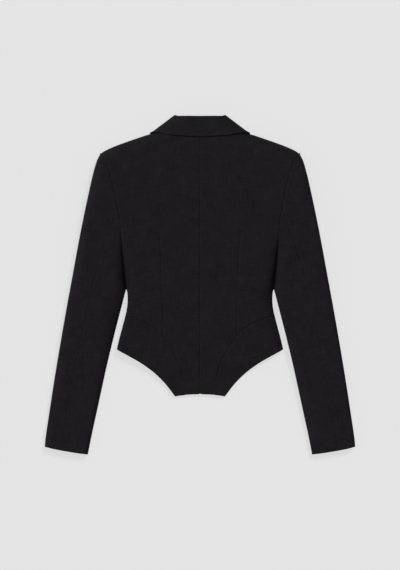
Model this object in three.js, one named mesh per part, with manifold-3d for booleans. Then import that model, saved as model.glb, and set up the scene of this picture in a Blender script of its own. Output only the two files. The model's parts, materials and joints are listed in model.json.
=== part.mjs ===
// A cropped blazer with an off-centre wrap front, laid out flat on its front with its back up.
// Millimetres. +X is the wearer's right, +Y runs from hem to collar and +Z is up, with Z = 0 on the
// surface that it lies on.
// Each plan table is for the wearer's right half and is mirrored in X for the left.
import * as THREE from "three";
import { mergeVertices } from "three/addons/utils/BufferGeometryUtils.js";
import Module from "manifold-3d";

const CLOTH = 1.6; // wall of every cloth piece
const SEAM = 0.3; // gap between two pieces at a seam
const FOLD_Z = 6; // height of the folded shoulder, side and sleeve edges
const ROLL = 28; // width over which the upper layer rounds up from a folded edge
const TURN = 6; // width over which the lower layer rounds up to a folded edge
const VALLEY = 24; // half width of the dip between sleeve and body below the armhole's top
const COLLAR_LIFT = 2.8; // collar fall's outer face above the cloth it lies on
const COLLAR_BEND = 2.2; // outer radius of the collar's own fold
const COLLAR_RETURN = 3; // cloth of the fall past its fold, where the stand is joined
const STEP_UP = 2.8; // outer face of a front over a lapel, the collar or the button
const STEP_OVER = 4.7; // outer face of the left front over the right front
const RAMP = 30; // width over which a front comes back down to the surface
const LAPEL = STEP_UP - SEAM; // a lapel's two layers, turned back against its front
const BUTTON = { x: -46, y: -44, radius: 9, thick: 2.4, shank: 1.2 };
const BUTTONHOLE = { length: 20, width: 3.4 };
const DART_WIDTH = 0.4;

// Plan points: [x, y]
const NECK = [[0, 325], [20, 325.6], [48, 329], [75.4, 335.9]];
const SHOULDER = [
  [75.4, 335.9], [86.9, 327.5], [97, 320], [104, 316], [114.2, 312.9], [138.9, 304.5],
  [162.8, 296.1], [184.7, 287.7], [201.7, 279.3], [209, 274],
];
const SLEEVE_OUTER = [
  [209, 274], [215.3, 262.5], [223.8, 235.2], [235.3, 184.8], [245.9, 134.4], [255.7, 84],
  [264.9, 33.6], [274.2, -16.8], [283.3, -67.2], [292.1, -117.6], [300.6, -168],
  [308.7, -218.4], [316.3, -268.8], [323.8, -319.2], [326, -340.2],
];
const SLEEVE_INNER = [
  [154.5, -9], [157.1, -16.8], [163.5, -42], [170.1, -67.2], [182.9, -117.6], [195, -168],
  [206.1, -218.4], [217, -268.8], [228, -319.2], [235.3, -356.5],
];
const CUFF = [
  [235.3, -356.5], [249.3, -354.9], [264.5, -352.8], [289, -348.6], [310, -344.4],
  [326, -340.2],
];
const SIDE = [
  [154.5, -9], [152.6, -16.8], [151.9, -29], [152.3, -42], [154.6, -57], [157.1, -67.2],
  [163.7, -92.4], [170.3, -117.6], [174.5, -136],
];
const BACK_ARMHOLE = [
  [154.5, -9], [160, 40], [164, 84], [165.7, 115], [170, 145], [182, 207], [198, 260],
  [209, 274],
];
const FRONT_ARMHOLE = [
  [154.5, -9], [150.5, 25], [150, 70], [153, 130], [165, 190], [190, 248], [209, 274],
];
const HIP_SEAM = [
  [31, -232], [33, -208], [39, -179], [49, -154], [66, -124], [85, -100], [112.5, -81],
  [141.7, -69.6], [157.1, -67.2],
];
const BACK_HEM = [[0, -229], [3, -230], [10, -230.4], [20, -230.6], [31, -231.9]];
const TAIL_END = [[31, -231.9], [41, -232.9], [52.5, -234.7]];
const HIP_HEM = [
  [52.5, -234.7], [63, -220.3], [73.5, -207.3], [84, -196.3], [94.5, -186.5], [105, -178],
  [126, -163.5], [147, -151.5], [157, -146], [167, -140.5], [174.5, -136],
];
const DART = [[84.7, 108], [80, 20], [76, -114]];
const BACK_SLEEVE_SEAM = [
  [172.6, 160], [190, 110], [210, 53], [224.5, -4], [239.5, -66], [251, -121], [262, -179],
  [272.5, -232], [282, -285], [289, -348.6],
];
const FRONT_SLEEVE_SEAM = [
  [150, 62], [166, 0], [180, -50], [196, -110], [212, -175], [228, -240], [243, -305],
  [254, -354.3],
];
const FRONT_NECK = [[50, 300], [55, 309], [64, 322], [75.4, 335.9]];
const FALL_EDGE = [[0, 310.2], [47, 312.5], [92, 317], [104, 316]];
const FALL_FOLD = [[0, 351.2], [20, 351.7], [41, 352.4], [52.6, 353]];
const FALL_SIDE = [[104, 316], [97, 320], [86.9, 327.5], [75.4, 335.9], [52.6, 353]];
const UNDER_EDGE = [[104, 316], [103, 301], [98, 288], [88, 276]];
const UNDER_FOLD = [[52.6, 353], [49, 335], [45, 318], [42.5, 303]];
const STAND_TOP = [[0, 347.8], [20, 348.3], [41, 348.9], [55.3, 351]];
const STAND_UNDER_NECK = [[75.4, 335.9], [66.5, 325], [60.4, 317]];
const STAND_UNDER_TOP = [[55.3, 351], [53.2, 337], [51.2, 325]];

// Front edge, roll line, hem and lapel of each front, in plan points of its own half.
// The right front wraps 60 mm past the middle; the left one lies 20 mm past it, inside.
const FRONTS = {
  right: {
    edge: [[-60, -166], [-60, -90], [-60, -22]],
    roll: [[-60, -22], [50, 300]],
    hem: [[-60, -166], [0, -168], [80, -161], [140, -147], [174.5, -136]],
    lapelRoll: [[-57, -15], [50, 296.4]],
    lapelEdge: [[-53, -17], [-5, 90], [55, 180], [92, 235], [106, 263]],
    over: [[-70, -180], [45, -180], [70, 150], [115, 255], [112, 330], [40, 360], [-70, 0]],
    overRight: null,
  },
  left: {
    edge: [[-20, -167], [-20, -40], [-20, 58]],
    roll: [[-20, 58], [50, 300]],
    hem: [[-20, -167], [40, -166], [90, -159], [140, -147], [174.5, -136]],
    lapelRoll: [[8.5, 152], [50, 296.4]],
    lapelEdge: [[19, 124], [62, 195], [94, 240], [106, 263]],
    over: [[0, 120], [60, 150], [115, 255], [112, 330], [40, 360]],
    overRight: [[60, -180], [60, -22], [-50, 300], [-60, -180]],
  },
};

// Height of the upper layer by Y: [y, z]
const BODY_HEIGHT = [
  [-240, 3.6], [-230, 4.2], [-200, 7], [-165, 11], [-136, 14], [-100, 17.5], [-50, 21],
  [0, 23.5], [84, 28], [150, 31], [240, 31.5], [300, 28.5], [325, 25.5], [360, 22],
];
const SLEEVE_HEIGHT = [
  [-360, 13.5], [-300, 15], [-200, 18], [-100, 21], [0, 23.5], [84, 28], [150, 31],
  [240, 31.5], [300, 28.5],
];

const wasm = await Module();
wasm.setup();

const clamp = THREE.MathUtils.clamp;
const smooth = (t) => THREE.MathUtils.smoothstep(t, 0, 1);
const roll = (t) => Math.sqrt(1 - (1 - clamp(t, 0, 1)) ** 2);

// A plan curve as a function of its share of length, 0 to 1.
function curve(points) {
  const path = new THREE.CatmullRomCurve3(
    points.map(([x, y]) => new THREE.Vector3(x, y, 0)), false, "centripetal");
  path.arcLengthDivisions = 300;
  const at = (t) => {
    const p = path.getPointAt(clamp(t, 0, 1));
    return [p.x, p.y];
  };
  at.size = path.getLength();
  return at;
}

function join(first, second) {
  const share = first.size / (first.size + second.size);
  const at = (t) => (t < share ? first(t / share) : second((t - share) / (1 - share)));
  at.size = first.size + second.size;
  at.share = share;
  return at;
}

function section(whole, from, to) {
  const at = (t) => whole(from + (to - from) * t);
  at.size = whole.size * Math.abs(to - from);
  return at;
}

// The share of a curve's length at which its y passes a value.
function shareAtY(whole, y) {
  let best = 0;
  for (let i = 1; i <= 600; i++)
    if (Math.abs(whole(i / 600)[1] - y) < Math.abs(whole(best)[1] - y)) best = i / 600;
  return best;
}

function table(rows, y) {
  const i = clamp(rows.findIndex((row) => row[0] > y), 1, rows.length - 1);
  const slope = (k) => {
    const a = rows[Math.max(k - 1, 0)], b = rows[Math.min(k + 1, rows.length - 1)];
    return (b[1] - a[1]) / (b[0] - a[0]);
  };
  const [x0, z0] = rows[i - 1], [x1, z1] = rows[i];
  const w = x1 - x0, t = clamp((y - x0) / w, 0, 1);
  return z0 * (1 - t) ** 2 * (1 + 2 * t) + z1 * t ** 2 * (3 - 2 * t)
    + w * t * (1 - t) * ((1 - t) * slope(i - 1) - t * slope(i));
}
const bodyHeight = (y) => table(BODY_HEIGHT, y);
const sleeveHeight = (y) => table(SLEEVE_HEIGHT, y);

// A run of curves as points with outward plan normals; side +1 has the outside on its left.
function edgeLine(curves, side) {
  const points = [];
  for (const c of curves) {
    const n = Math.ceil(c.size / 4);
    for (let i = points.length ? 1 : 0; i <= n; i++) points.push(c(i / n));
  }
  const steps = points.slice(1).map(([x, y], i) => {
    const dx = x - points[i][0], dy = y - points[i][1], l = Math.hypot(dx, dy);
    return [(-dy / l) * side, (dx / l) * side];
  });
  const normals = points.map((_, i) => {
    const a = steps[Math.max(i - 1, 0)], b = steps[Math.min(i, steps.length - 1)];
    return [a[0] + b[0], a[1] + b[1]];
  });
  return { points, normals };
}

function nearest({ points, normals }, x, y) {
  let best = { d: Infinity };
  for (let i = 1; i < points.length; i++) {
    const [ax, ay] = points[i - 1], [bx, by] = points[i];
    const t = clamp(((x - ax) * (bx - ax) + (y - ay) * (by - ay))
      / ((bx - ax) ** 2 + (by - ay) ** 2), 0, 1);
    const d = Math.hypot(x - ax - t * (bx - ax), y - ay - t * (by - ay));
    if (d < best.d) best = { d, i, t };
  }
  const { d, i, t } = best, a = normals[i - 1], b = normals[i];
  const nx = a[0] + (b[0] - a[0]) * t, ny = a[1] + (b[1] - a[1]) * t, l = Math.hypot(nx, ny);
  return { d, nx: nx / l, ny: ny / l, share: (i - 1 + t) / (points.length - 1) };
}

const c = {
  neck: curve(NECK), shoulder: curve(SHOULDER), sleeveOuter: curve(SLEEVE_OUTER),
  sleeveInner: curve(SLEEVE_INNER), cuff: curve(CUFF), side: curve(SIDE),
  backArmhole: curve(BACK_ARMHOLE), frontArmhole: curve(FRONT_ARMHOLE),
  hipSeam: curve(HIP_SEAM), backHem: curve(BACK_HEM), tailEnd: curve(TAIL_END),
  hipHem: curve(HIP_HEM), backSeam: curve(BACK_SLEEVE_SEAM),
  frontSeam: curve(FRONT_SLEEVE_SEAM), frontNeck: curve(FRONT_NECK),
};
const sideToHip = shareAtY(c.side, HIP_SEAM.at(-1)[1]);
const valleyTop = shareAtY(c.backArmhole, 100);
const fallSide = curve(FALL_SIDE);
const neckSide = section(fallSide, 1, shareAtY(fallSide, NECK.at(-1)[1]));
const OUTER_EDGE = edgeLine([neckSide, c.shoulder, c.sleeveOuter], 1);
const INNER_EDGE = edgeLine([section(c.side, 1, 0), c.sleeveInner], -1);
const VALLEY_LINE = edgeLine([section(c.backArmhole, 0, valleyTop)], 1);

function foldedEdge(x, y) {
  const a = nearest(OUTER_EDGE, x, y), b = nearest(INNER_EDGE, x, y);
  return a.d < b.d ? a : b;
}

function upperZ(x, y, height) {
  const top = height(y);
  const fold = FOLD_Z + (top - FOLD_Z) * roll(foldedEdge(x, y).d / ROLL);
  const dip = nearest(VALLEY_LINE, x, y);
  const low = FOLD_Z + (top - FOLD_Z) * smooth(dip.share);
  return Math.min(fold, low + (top - low) * roll(dip.d / VALLEY));
}

function lowerZ(x, y, base) {
  const low = base(x, y);
  return low + (FOLD_Z - low) * (1 - roll(foldedEdge(x, y).d / TURN));
}

// A point on a layer's outer face with its outward normal; up is 1 for the upper layer.
function onLayer(surface, up, gap) {
  return ([x, y]) => {
    const edge = foldedEdge(x, y), h = 0.2;
    if (edge.d < 0.25)
      return {
        p: new THREE.Vector3(x, y, FOLD_Z + (up * gap) / 2),
        n: new THREE.Vector3(edge.nx, edge.ny, 0),
      };
    const gx = (surface(x + h, y) - surface(x - h, y)) / (2 * h);
    const gy = (surface(x, y + h) - surface(x, y - h)) / (2 * h);
    return {
      p: new THREE.Vector3(x, y, surface(x, y)),
      n: new THREE.Vector3(-gx * up, -gy * up, up).normalize(),
    };
  };
}

// A plan patch between four curves; u runs along bottom and top, v along left and right.
function patch(left, right, bottom, top) {
  const corners = [bottom(0), bottom(1), top(0), top(1)];
  return (u, v) => {
    const l = left(v), r = right(v), b = bottom(u), t = top(u);
    return [0, 1].map((i) => (1 - u) * l[i] + u * r[i] + (1 - v) * b[i] + v * t[i]
      - (1 - u) * (1 - v) * corners[0][i] - u * (1 - v) * corners[1][i]
      - (1 - u) * v * corners[2][i] - u * v * corners[3][i]);
  };
}

const even = (n, from = 0, to = 1) =>
  Array.from({ length: n + 1 }, (_, i) => from + ((to - from) * i) / n);
// Stations that end at 1 close together, where a layer of that length rounds into a fold.
const intoFold = (n, width, length) => {
  const start = 1 - width / length;
  const turns = width === ROLL ? [72, 54, 36, 18, 0] : [60, 30, 0];
  return [...even(n, 0, start),
    ...turns.map((deg) => 1 - ((1 - Math.cos((deg * Math.PI) / 180)) * width) / length)];
};

const grid = (plan, us, vs) => vs.map((v) => us.map((u) => plan(u, v)));

// Draws the named borders of a plan grid in by half a seam, square to each border.
function seamed(rows, borders) {
  const out = rows.map((row) => row.map((p) => [...p]));
  const last = rows.length - 1, end = rows[0].length - 1;
  const lines = {
    first: [rows[0], rows[1], (i, p) => { out[0][i] = p; }],
    last: [rows[last], rows[last - 1], (i, p) => { out[last][i] = p; }],
    start: [rows.map((row) => row[0]), rows.map((row) => row[1]), (j, p) => { out[j][0] = p; }],
    end: [rows.map((row) => row[end]), rows.map((row) => row[end - 1]),
      (j, p) => { out[j][end] = p; }],
  };
  for (const border of borders) {
    const [line, next, set] = lines[border];
    line.forEach((p, i) => {
      const a = line[Math.max(i - 1, 0)], b = line[Math.min(i + 1, line.length - 1)];
      const l = Math.hypot(b[0] - a[0], b[1] - a[1]);
      const nx = -(b[1] - a[1]) / l, ny = (b[0] - a[0]) / l;
      const k = Math.sign(nx * (next[i][0] - p[0]) + ny * (next[i][1] - p[1])) * SEAM * 0.55;
      set(i, [p[0] + nx * k, p[1] + ny * k]);
    });
  }
  return out;
}

// A closed cloth wall from a grid of outer points and normals.
function wall(rows, thick = CLOTH) {
  const nu = rows[0].length, nv = rows.length, flat = rows.flat();
  const points = [...flat.map(({ p }) => p),
    ...flat.map(({ p, n }) => p.clone().addScaledVector(n, -thick))];
  const faces = [], inner = nu * nv, at = (i, j) => j * nu + i;
  const quad = (a, b, c2, d) => faces.push(a, b, c2, a, c2, d);
  for (let j = 0; j < nv - 1; j++)
    for (let i = 0; i < nu - 1; i++) {
      quad(at(i, j), at(i + 1, j), at(i + 1, j + 1), at(i, j + 1));
      quad(inner + at(i, j + 1), inner + at(i + 1, j + 1), inner + at(i + 1, j), inner + at(i, j));
    }
  const rim = (a, b) => quad(b, a, inner + a, inner + b);
  for (let i = 0; i < nu - 1; i++) {
    rim(at(i, 0), at(i + 1, 0));
    rim(at(i + 1, nv - 1), at(i, nv - 1));
  }
  for (let j = 0; j < nv - 1; j++) {
    rim(at(0, j + 1), at(0, j));
    rim(at(nu - 1, j), at(nu - 1, j + 1));
  }
  return { points, faces };
}

const mirrored = ({ points, faces }) => ({
  points: points.map((p) => new THREE.Vector3(-p.x, p.y, p.z)), faces,
});

function turnedOut({ points, faces }) {
  let volume = 0;
  for (let i = 0; i < faces.length; i += 3)
    volume += points[faces[i]].dot(points[faces[i + 1]].clone().cross(points[faces[i + 2]]));
  if (volume > 0) return faces;
  const turned = [];
  for (let i = 0; i < faces.length; i += 3) turned.push(faces[i], faces[i + 2], faces[i + 1]);
  return turned;
}

function geometryOf(shape) {
  const geometry = new THREE.BufferGeometry().setFromPoints(shape.points);
  geometry.setIndex(turnedOut(shape));
  return geometry;
}

// A closed geometry as a solid that can be joined and cut, and back.
function solidOf(geometry) {
  const bare = new THREE.BufferGeometry();
  bare.setAttribute("position", geometry.getAttribute("position"));
  bare.setIndex(geometry.getIndex());
  const merged = mergeVertices(bare, 1e-4);
  return new wasm.Manifold(new wasm.Mesh({
    numProp: 3,
    vertProperties: new Float32Array(merged.getAttribute("position").array),
    triVerts: new Uint32Array(merged.getIndex().array),
  }));
}

function shapeOf(solid) {
  const { vertProperties: v, triVerts } = solid.getMesh(), points = [];
  for (let i = 0; i < v.length; i += 3) points.push(new THREE.Vector3(v[i], v[i + 1], v[i + 2]));
  return { points, faces: [...triVerts] };
}

const cut = (shape, tool) => shapeOf(solidOf(geometryOf(shape)).subtract(solidOf(tool)));

const blazer = new THREE.Group();
blazer.name = "blazer";

function add(name, shape, color) {
  const geometry = geometryOf(shape);
  geometry.computeVertexNormals();
  const piece = new THREE.Mesh(geometry, new THREE.MeshStandardMaterial({ color, roughness: 0.85 }));
  piece.name = name;
  blazer.add(piece);
}

// A narrow slit along a line, as an upright prism through every layer.
function slit(points, width) {
  const line = curve(points), n = 24, near = [], far = [];
  for (let i = 0; i <= n; i++) {
    const [x, y] = line(i / n), [ax, ay] = line((i - 0.5) / n), [bx, by] = line((i + 0.5) / n);
    const across = new THREE.Vector2(ay - by, bx - ax).setLength(width / 2);
    near.push(new THREE.Vector2(x, y).add(across));
    far.unshift(new THREE.Vector2(x, y).sub(across));
  }
  return new THREE.ExtrudeGeometry(new THREE.Shape([...near, ...far]),
    { depth: 60, bevelEnabled: false });
}

const bodyUpper = onLayer((x, y) => upperZ(x, y, bodyHeight), 1, SEAM);
const sleeveUpper = onLayer((x, y) => upperZ(x, y, sleeveHeight), 1, 0);
const sleeveLower = onLayer((x, y) => lowerZ(x, y, () => 0), -1, 0);
const faced = (rows, layer) => rows.map((row) => row.map(layer));

// Stations along a joined curve: those of its first part, then those of its second.
const joined = (whole, first, second) => [...first.map((t) => t * whole.share),
  ...second.slice(1).map((t) => whole.share + t * (1 - whole.share))];
// The same stations with the nearest inner one moved to a value that has to be met.
function meeting(stations, value) {
  const gaps = stations.map((t, i) => (i && i < stations.length - 1 ? Math.abs(t - value) : 9));
  return stations.with(gaps.indexOf(Math.min(...gaps)), value);
}

// Neighbours share their stations along a curved seam, so that it stays an even gap.
const backShare = shareAtY(c.backArmhole, BACK_SLEEVE_SEAM[0][1]);
const frontShare = shareAtY(c.frontArmhole, FRONT_SLEEVE_SEAM[0][1]);
const neckShare = join(c.neck, c.shoulder).share;
const hipShare = join(c.backHem, c.hipSeam).share;
const neckOnHip = (neckShare - hipShare) / (1 - hipShare);
const across = {
  hip: meeting([...intoFold(8, ROLL, 220), neckOnHip * 0.82].sort((a, b) => a - b), neckOnHip),
  upperTop: intoFold(5, ROLL, 130), underTop: intoFold(6, ROLL, 150),
  upperBottom: intoFold(9, TURN, 220), underBottom: intoFold(2, TURN, 70),
};
const backColumns = joined({ share: hipShare }, even(2), across.hip);
const neckStations = backColumns.filter((t) => t < neckShare + 1e-9).map((t) => t / neckShare);
const overArmhole = (share, under, upper) => [
  ...[...under].reverse().map((t) => share * (1 - t)),
  ...upper.slice(1).map((t) => share + t * (1 - share))];
const backRows = overArmhole(backShare, across.underTop, across.upperTop);
const frontRows = overArmhole(frontShare, across.underBottom, across.upperBottom);

function backPanel() {
  const right = join(section(c.side, sideToHip, 0), c.backArmhole);
  const bottom = join(c.backHem, c.hipSeam), top = join(c.neck, c.shoulder);
  const plan = patch((v) => [0, -229 + 554 * v], right, bottom, top);
  const rows = grid(plan, backColumns,
    joined(right, even(5), backRows));
  return wall(faced(seamed(rows, ["first", "start", "end"]), bodyUpper));
}

function hipPanel() {
  const plan = patch(c.tailEnd, section(c.side, sideToHip, 1), c.hipSeam, c.hipHem);
  const rows = grid(plan, across.hip, even(6));
  return wall(faced(seamed(rows, ["first"]), bodyUpper));
}

// Distance from a plan point to a polygon, 0 inside it.
function beyond(polygon, x, y) {
  let best = Infinity, inside = false;
  polygon.forEach(([bx, by], i) => {
    const [ax, ay] = polygon.at(i - 1);
    const t = clamp(((x - ax) * (bx - ax) + (y - ay) * (by - ay))
      / ((bx - ax) ** 2 + (by - ay) ** 2), 0, 1);
    best = Math.min(best, Math.hypot(x - ax - t * (bx - ax), y - ay - t * (by - ay)));
    if (ay > y !== by > y && x < ax + ((bx - ax) * (y - ay)) / (by - ay)) inside = !inside;
  });
  return inside ? 0 : best;
}
const lifted = (polygon, x, y, clear) =>
  (polygon ? 1 - smooth((beyond(polygon, x, y) - clear) / RAMP) : 0);

function frontPanel(front) {
  const base = (x, y) => Math.max(STEP_UP * lifted(front.over, x, y, 12),
    STEP_OVER * lifted(front.overRight, x, y, 16));
  const layer = onLayer((x, y) => lowerZ(x, y, base), -1, SEAM);
  const right = join(section(c.side, 1, 0), c.frontArmhole);
  const top = join(c.frontNeck, c.shoulder);
  const plan = patch(join(curve(front.edge), curve(front.roll)), right, curve(front.hem), top);
  const rows = grid(plan, meeting(intoFold(12, TURN, 190), top.share),
    joined(right, even(7), frontRows));
  return wall(faced(seamed(rows, ["end"]), layer));
}

function lapel(front) {
  const plan = patch(curve(front.lapelRoll), curve(front.lapelEdge),
    curve([front.lapelRoll[0], front.lapelEdge[0]]),
    curve([front.lapelRoll.at(-1), [90, 272.6], front.lapelEdge.at(-1)]));
  return wall(grid(plan, even(4), even(12)).map((row) => row.map(([x, y]) => ({
    p: new THREE.Vector3(x, y, 0), n: new THREE.Vector3(0, 0, -1),
  }))), LAPEL);
}

// Two patches of one piece that share a folded edge, laid side by side in one grid.
function wrapped(upperRows, lowerRows, upperLayer, lowerLayer) {
  return upperRows.map((row, j) => [
    ...row.map(upperLayer), ...lowerRows[j].slice(1).map(lowerLayer)]);
}
const reversed = (rows) => rows.map((row) => [...row].reverse());

function sleeves() {
  const cuffBack = shareAtY(c.cuff, BACK_SLEEVE_SEAM.at(-1)[1]);
  const cuffFront = shareAtY(c.cuff, FRONT_SLEEVE_SEAM.at(-1)[1]);
  const vs = [0, 0.012, ...even(15, 0.04, 1)];
  const upperTop = grid(patch(c.backSeam, c.sleeveOuter,
    section(c.backArmhole, backShare, 1), section(c.cuff, cuffBack, 1)),
  across.upperTop, vs);
  const upperBottom = grid(patch(c.frontSeam, c.sleeveOuter,
    section(c.frontArmhole, frontShare, 1), section(c.cuff, cuffFront, 1)),
  across.upperBottom, vs);
  const underTop = grid(patch(c.backSeam, c.sleeveInner,
    section(c.backArmhole, backShare, 0), section(c.cuff, cuffBack, 0)),
  across.underTop, vs);
  const underBottom = grid(patch(c.frontSeam, c.sleeveInner,
    section(c.frontArmhole, frontShare, 0), section(c.cuff, cuffFront, 0)),
  across.underBottom, vs);
  const make = (top, bottom) => wall(wrapped(seamed(top, ["first", "start"]),
    seamed(reversed(bottom), ["first", "end"]), sleeveUpper, sleeveLower));
  return { upper: make(upperTop, upperBottom), under: make(underTop, underBottom) };
}

const neckUpper = onLayer((x, y) => upperZ(x, y, bodyHeight), 1, 0);
const neckLower = onLayer((x, y) => lowerZ(x, y, () => STEP_UP), -1, 0);

// Columns from the middle of the back round the neck to the front, then the other half of them.
function roundNeck(top, under) {
  const half = wrapped(top, reversed(under), neckUpper, neckLower);
  const flip = ({ p, n }) => ({
    p: new THREE.Vector3(-p.x, p.y, p.z), n: new THREE.Vector3(-n.x, n.y, n.z),
  });
  return half.map((row) => [...row.slice(1).reverse().map(flip), ...row]);
}
const neckColumns = [0, 0.14, 0.28, 0.42, 0.55, 0.66, 0.76, 0.85, 0.92, 0.965, 0.99, 1];

function collarFall() {
  const top = grid(patch((v) => [0, 310.2 + 41 * v], fallSide, curve(FALL_EDGE), curve(FALL_FOLD)),
    neckColumns, even(7));
  const under = grid(patch((v) => curve([UNDER_EDGE.at(-1), UNDER_FOLD.at(-1)])(v), fallSide,
    section(curve(UNDER_EDGE), 1, 0), section(curve(UNDER_FOLD), 1, 0)),
  intoFold(4, TURN, 45), even(7));
  const rows = roundNeck(top, under).map((row) => row.map(({ p, n }) => ({
    p: p.clone().addScaledVector(n, COLLAR_LIFT), n,
  })));
  const edge = rows.at(-1), before = rows.at(-2);
  const bend = (deg, run) => edge.map(({ p, n }, i) => {
    const out = p.clone().sub(before[i].p);
    out.addScaledVector(n, -out.dot(n)).normalize();
    const a = (deg * Math.PI) / 180;
    const turned = n.clone().multiplyScalar(Math.cos(a)).addScaledVector(out, Math.sin(a));
    return {
      p: p.clone().addScaledVector(n, -COLLAR_BEND).addScaledVector(turned, COLLAR_BEND)
        .addScaledVector(out, -run),
      n: turned,
    };
  });
  return wall([...rows, ...[45, 90, 135, 180].map((deg) => bend(deg, 0)),
    bend(180, COLLAR_RETURN)]);
}

function collarStand() {
  const side = section(fallSide, shareAtY(fallSide, 335.9), shareAtY(fallSide, 351));
  const top = grid(patch((v) => [0, 325 + 22.8 * v], side, c.neck, curve(STAND_TOP)),
    neckStations, even(3));
  const under = grid(patch(curve([STAND_UNDER_NECK.at(-1), STAND_UNDER_TOP.at(-1)]), side,
    section(curve(STAND_UNDER_NECK), 1, 0), section(curve(STAND_UNDER_TOP), 1, 0)),
  intoFold(3, TURN, 25), even(3));
  return wall(roundNeck(seamed(top, ["first"]), seamed(under, ["first"])));
}

function buttonShape() {
  const { x, y, radius, thick, shank } = BUTTON, high = STEP_OVER - SEAM;
  const upright = (r, h, sides) => solidOf(new THREE.CylinderGeometry(r, r, h, sides)
    .rotateX(Math.PI / 2).translate(x, y, h / 2));
  return shapeOf(upright(radius, thick, 32).add(upright(shank, high, 12)));
}

const CLOTH_BLACK = 0x1e1c1f, BUTTON_BLACK = 0x141214;
const buttonhole = new THREE.BoxGeometry(BUTTONHOLE.length, BUTTONHOLE.width, 20)
  .translate(BUTTON.x, BUTTON.y, 0);
const sleeve = sleeves();
const halves = {
  back: cut(backPanel(), slit(DART, DART_WIDTH)), hip_panel: hipPanel(),
  upper_sleeve: sleeve.upper, under_sleeve: sleeve.under,
};
for (const [name, shape] of Object.entries(halves)) {
  add(name + "_right", shape, CLOTH_BLACK);
  add(name + "_left", mirrored(shape), CLOTH_BLACK);
}
add("front_right", cut(frontPanel(FRONTS.right), buttonhole), CLOTH_BLACK);
add("front_left", mirrored(frontPanel(FRONTS.left)), CLOTH_BLACK);
add("lapel_right", lapel(FRONTS.right), CLOTH_BLACK);
add("lapel_left", mirrored(lapel(FRONTS.left)), CLOTH_BLACK);
add("collar_fall", collarFall(), CLOTH_BLACK);
add("collar_stand", collarStand(), CLOTH_BLACK);
add("button", buttonShape(), BUTTON_BLACK);

export default blazer;
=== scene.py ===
import json
import math
import bpy
import numpy as np
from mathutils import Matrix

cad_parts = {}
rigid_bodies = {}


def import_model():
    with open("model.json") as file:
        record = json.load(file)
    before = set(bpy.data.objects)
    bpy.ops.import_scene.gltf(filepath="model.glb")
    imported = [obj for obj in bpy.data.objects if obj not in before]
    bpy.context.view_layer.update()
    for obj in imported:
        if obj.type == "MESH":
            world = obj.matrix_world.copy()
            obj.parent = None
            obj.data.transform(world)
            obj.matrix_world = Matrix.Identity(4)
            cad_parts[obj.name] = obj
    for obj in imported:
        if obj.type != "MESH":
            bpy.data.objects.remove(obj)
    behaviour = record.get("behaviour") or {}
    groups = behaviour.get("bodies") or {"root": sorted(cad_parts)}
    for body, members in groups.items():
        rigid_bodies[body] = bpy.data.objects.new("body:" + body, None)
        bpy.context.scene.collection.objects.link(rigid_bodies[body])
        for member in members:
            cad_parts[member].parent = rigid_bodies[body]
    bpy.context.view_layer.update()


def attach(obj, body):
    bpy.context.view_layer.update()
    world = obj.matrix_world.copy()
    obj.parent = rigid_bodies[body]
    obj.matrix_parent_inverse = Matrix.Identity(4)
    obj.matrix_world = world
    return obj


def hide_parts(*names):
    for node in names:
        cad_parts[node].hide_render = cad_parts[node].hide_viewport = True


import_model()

# A black cropped blazer laid flat on its front, seen from straight above.
# The garment's lengths are in millimetres, which MM turns into the frame's metres.
# The plan tables are for the wearer's right half (+X), and the left half mirrors them.
MM = 0.001
UP, DOWN = np.array([0, 0, 1.0]), np.array([0, 0, -1.0])

CLOTH = 1.6  # thickness of every cloth piece but the lapels
LAPEL_CLOTH = 2.5
FOLD_Z = 6.0  # height of the folded shoulder, side and sleeve edges
ROLL_ZONE = 28.0  # width of the close grid lines beside a folded edge
TURN = 6.0  # width over which the lower layer rounds up to a folded edge
VALLEY = 24.0  # half width of the dip between sleeve and body
VALLEY_TOP_Y = 118.0  # it runs up the armhole to here
CREVICE = 2.4  # half width of the dip's floor at the underarm
COLLAR_LIFT = 2.8  # collar fall's outer face above the cloth it lies on
COLLAR_BEND = 2.2  # outer radius of the collar's fold
COLLAR_RETURN = 3.0  # length of cloth inside that fold
BEND_STEP = 15  # degrees between the grid lines round it
COLLAR_SPRING = 2.0  # the fall's free edge stands this much further off, on the back
COLLAR_SETTLE = 0.8  # and lies this much closer round the shoulder fold and on the front
COLLAR_EASE = 12.0  # height above the shoulder fold over which it changes
STEP_UP = 2.8  # outer face of a front over a lapel, the collar or the button
STEP_OVER = 4.7  # outer face of the left front over the right front
STEP_MARGIN, OVER_MARGIN = 12.0, 16.0  # each step reaches this far past its polygon
RAMP = 30.0  # width over which a front comes down from such a step
BUTTON_AT = (-46.0, -44.0)
HOLE_AT = 1.5  # a hole's distance from the button's middle, in X and in Y
HOLE_RADIUS = 0.8
THREAD_RADIUS = 0.28
THREAD_TOP = 0.35  # z of a stitch in the middle of its bar, and down in its holes
THREAD_FOOT = 1.1
BUTTON_RINGS = [
    # radius, z: from the middle of its face round the rim to the middle of its back
    (1.0, 0.7), (3.6, 0.7), (5.6, 0.5), (6.6, 0.0), (8.2, 0.0), (9.0, 0.6), (9.0, 1.8), (8.4, 2.4),
    (1.0, 2.4),
]
STEP = 4.0  # grid spacing on the open cloth
BODY_SINK = 0.75  # depth of a pressed seam on the body and round the armhole
SLEEVE_SINK = 0.3  # the same down the back of a sleeve
SEAM_WIDTH = 1.6  # half width of a seam's sunk line
SEAM_RIDGE = 0.25  # height of the seam allowance that shows beside it
RIDGE_AT, RIDGE_WIDTH = 4.5, 2.6  # its distance from the seam and its half width
CENTRE_FADE_Y = 195.0  # above this the centre back seam is pressed flatter, by a share, over a run
CENTRE_FADE, CENTRE_FADE_RUN = 0.7, 45.0
DART_SINK = 1.0  # depth of a dart's crease
DART_WIDTH = 1.1  # half width of the crease
DART_RIDGE = 0.3  # height of the cloth beside it
DART_RIDGE_AT, DART_RIDGE_WIDTH = 5.0, 3.5
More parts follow.
